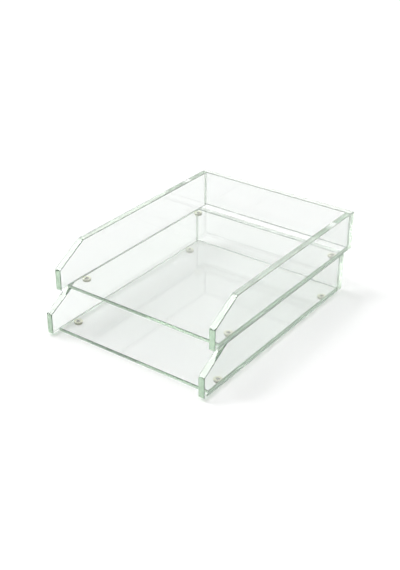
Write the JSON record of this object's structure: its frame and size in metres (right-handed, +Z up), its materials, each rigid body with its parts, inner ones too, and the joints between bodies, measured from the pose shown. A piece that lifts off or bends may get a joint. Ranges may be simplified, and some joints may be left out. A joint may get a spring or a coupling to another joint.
{
  "type": "letter tray stack",
  "caption": "Stacked clear acrylic letter trays, open at the front with thick sloped sides; the upper tray stands set back on the lower tray's top edges and lifts off.",
  "frame": {"origin": "on the surface that the stack stands on, under the middle of its whole footprint", "axes": "+Z up, open front faces -Y, +X to the right as seen from the front"},
  "size_m": [0.2666, 0.3714, 0.1212],
  "materials": {
    "clear_acrylic": "clear cast acrylic, polished faces and edges, pale green through its edges",
    "clear_bumper": "clear soft polyurethane, slightly milky",
    "foot_adhesive": "clear pressure-sensitive adhesive"
  },
  "bodies": {
    "lower_tray": {"lower_floor": "clear_acrylic", "lower_left_side": "clear_acrylic", "lower_right_side": "clear_acrylic", "lower_back": "clear_acrylic", "lower_front_left_foot": "clear_bumper", "lower_front_left_foot_adhesive": "foot_adhesive", "lower_front_right_foot": "clear_bumper", "lower_front_right_foot_adhesive": "foot_adhesive", "lower_rear_left_foot": "clear_bumper", "lower_rear_left_foot_adhesive": "foot_adhesive", "lower_rear_right_foot": "clear_bumper", "lower_rear_right_foot_adhesive": "foot_adhesive"},
    "upper_tray": {"upper_floor": "clear_acrylic", "upper_left_side": "clear_acrylic", "upper_right_side": "clear_acrylic", "upper_back": "clear_acrylic", "upper_front_left_foot": "clear_bumper", "upper_front_left_foot_adhesive": "foot_adhesive", "upper_front_right_foot": "clear_bumper", "upper_front_right_foot_adhesive": "foot_adhesive", "upper_rear_left_foot": "clear_bumper", "upper_rear_left_foot_adhesive": "foot_adhesive", "upper_rear_right_foot": "clear_bumper", "upper_rear_right_foot_adhesive": "foot_adhesive"}
  },
  "joints": [
    {"name": "upper_tray_lift", "type": "slide", "parent": "lower_tray", "child": "upper_tray", "axis": [0, 0, 1], "range_m": [0, 0.1]}
  ]
}
